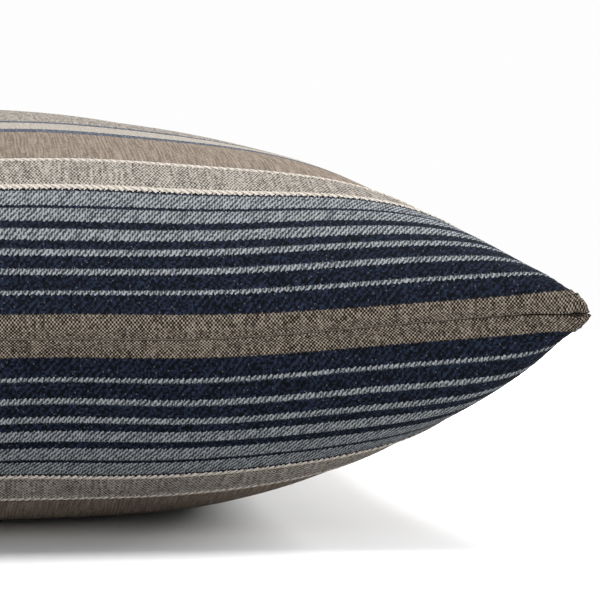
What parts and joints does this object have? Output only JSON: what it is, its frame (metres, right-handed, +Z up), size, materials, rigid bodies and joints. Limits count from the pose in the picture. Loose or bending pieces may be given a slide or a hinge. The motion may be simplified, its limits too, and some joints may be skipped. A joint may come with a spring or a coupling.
{
  "type": "throw pillow",
  "caption": "Square knife-edge throw pillow: striped woven cover with a zip in one seam, round a removable filled insert.",
  "frame": {"origin": "centre of the bounding box, on the surface the pillow lies on", "axes": "+Z up through the crown, +X to the right along the stripes, -Y towards the plain front seam; the zip is in the +Y seam"},
  "size_m": [0.491, 0.491, 0.167],
  "materials": {
    "striped_cloth": "coarse woven stripes: navy, blue-grey twill, taupe and cream",
    "sewing_thread": "matt spun thread",
    "zip_tape": "woven polyester tape",
    "zip_coil": "satin nylon coil",
    "zip_stop": "satin pressed metal",
    "zip_slider": "satin enamel on die-cast metal",
    "casing_cloth": "plain cotton downproof casing",
    "fibre_fill": "loose fibre",
    "label_ribbon": "blank satin ribbon"
  },
  "bodies": {
    "root": {"upper_cover_panel": "striped_cloth", "lower_cover_panel": "striped_cloth", "front_seam_thread": "sewing_thread", "left_seam_thread": "sewing_thread", "right_seam_thread": "sewing_thread", "back_seam_thread_left": "sewing_thread", "back_seam_thread_right": "sewing_thread", "overlock_thread": "sewing_thread", "zipper_tape_upper": "zip_tape", "zipper_tape_lower": "zip_tape", "zipper_coil_upper": "zip_coil", "zipper_coil_lower": "zip_coil", "zipper_stitch_upper": "sewing_thread", "zipper_stitch_lower": "sewing_thread", "zipper_top_stop_upper": "zip_stop", "zipper_top_stop_lower": "zip_stop", "zipper_bottom_stop": "zip_stop", "insert_upper_casing": "casing_cloth", "insert_lower_casing": "casing_cloth", "insert_fill": "fibre_fill", "insert_seam_thread": "sewing_thread", "insert_closing_stitch": "sewing_thread", "care_label": "label_ribbon", "insert_label": "label_ribbon"},
    "zip_slider": {"zipper_slider": "zip_slider"},
    "zip_pull": {"zipper_pull": "zip_slider"}
  },
  "joints": [
    {"name": "zip_travel", "type": "hinge", "parent": "root", "child": "zip_slider", "pos_m": [0, 1.1923, 0.60635], "axis": [0, -0.4763, 0.8793], "range_deg": [0, 17.45]},
    {"name": "pull_swing", "type": "hinge", "parent": "zip_slider", "child": "zip_pull", "pos_m": [-0.16751, 0.23641, 0.08659], "axis": [0.071, -0.0095, 0.9974], "range_deg": [0, 165]}
  ]
}
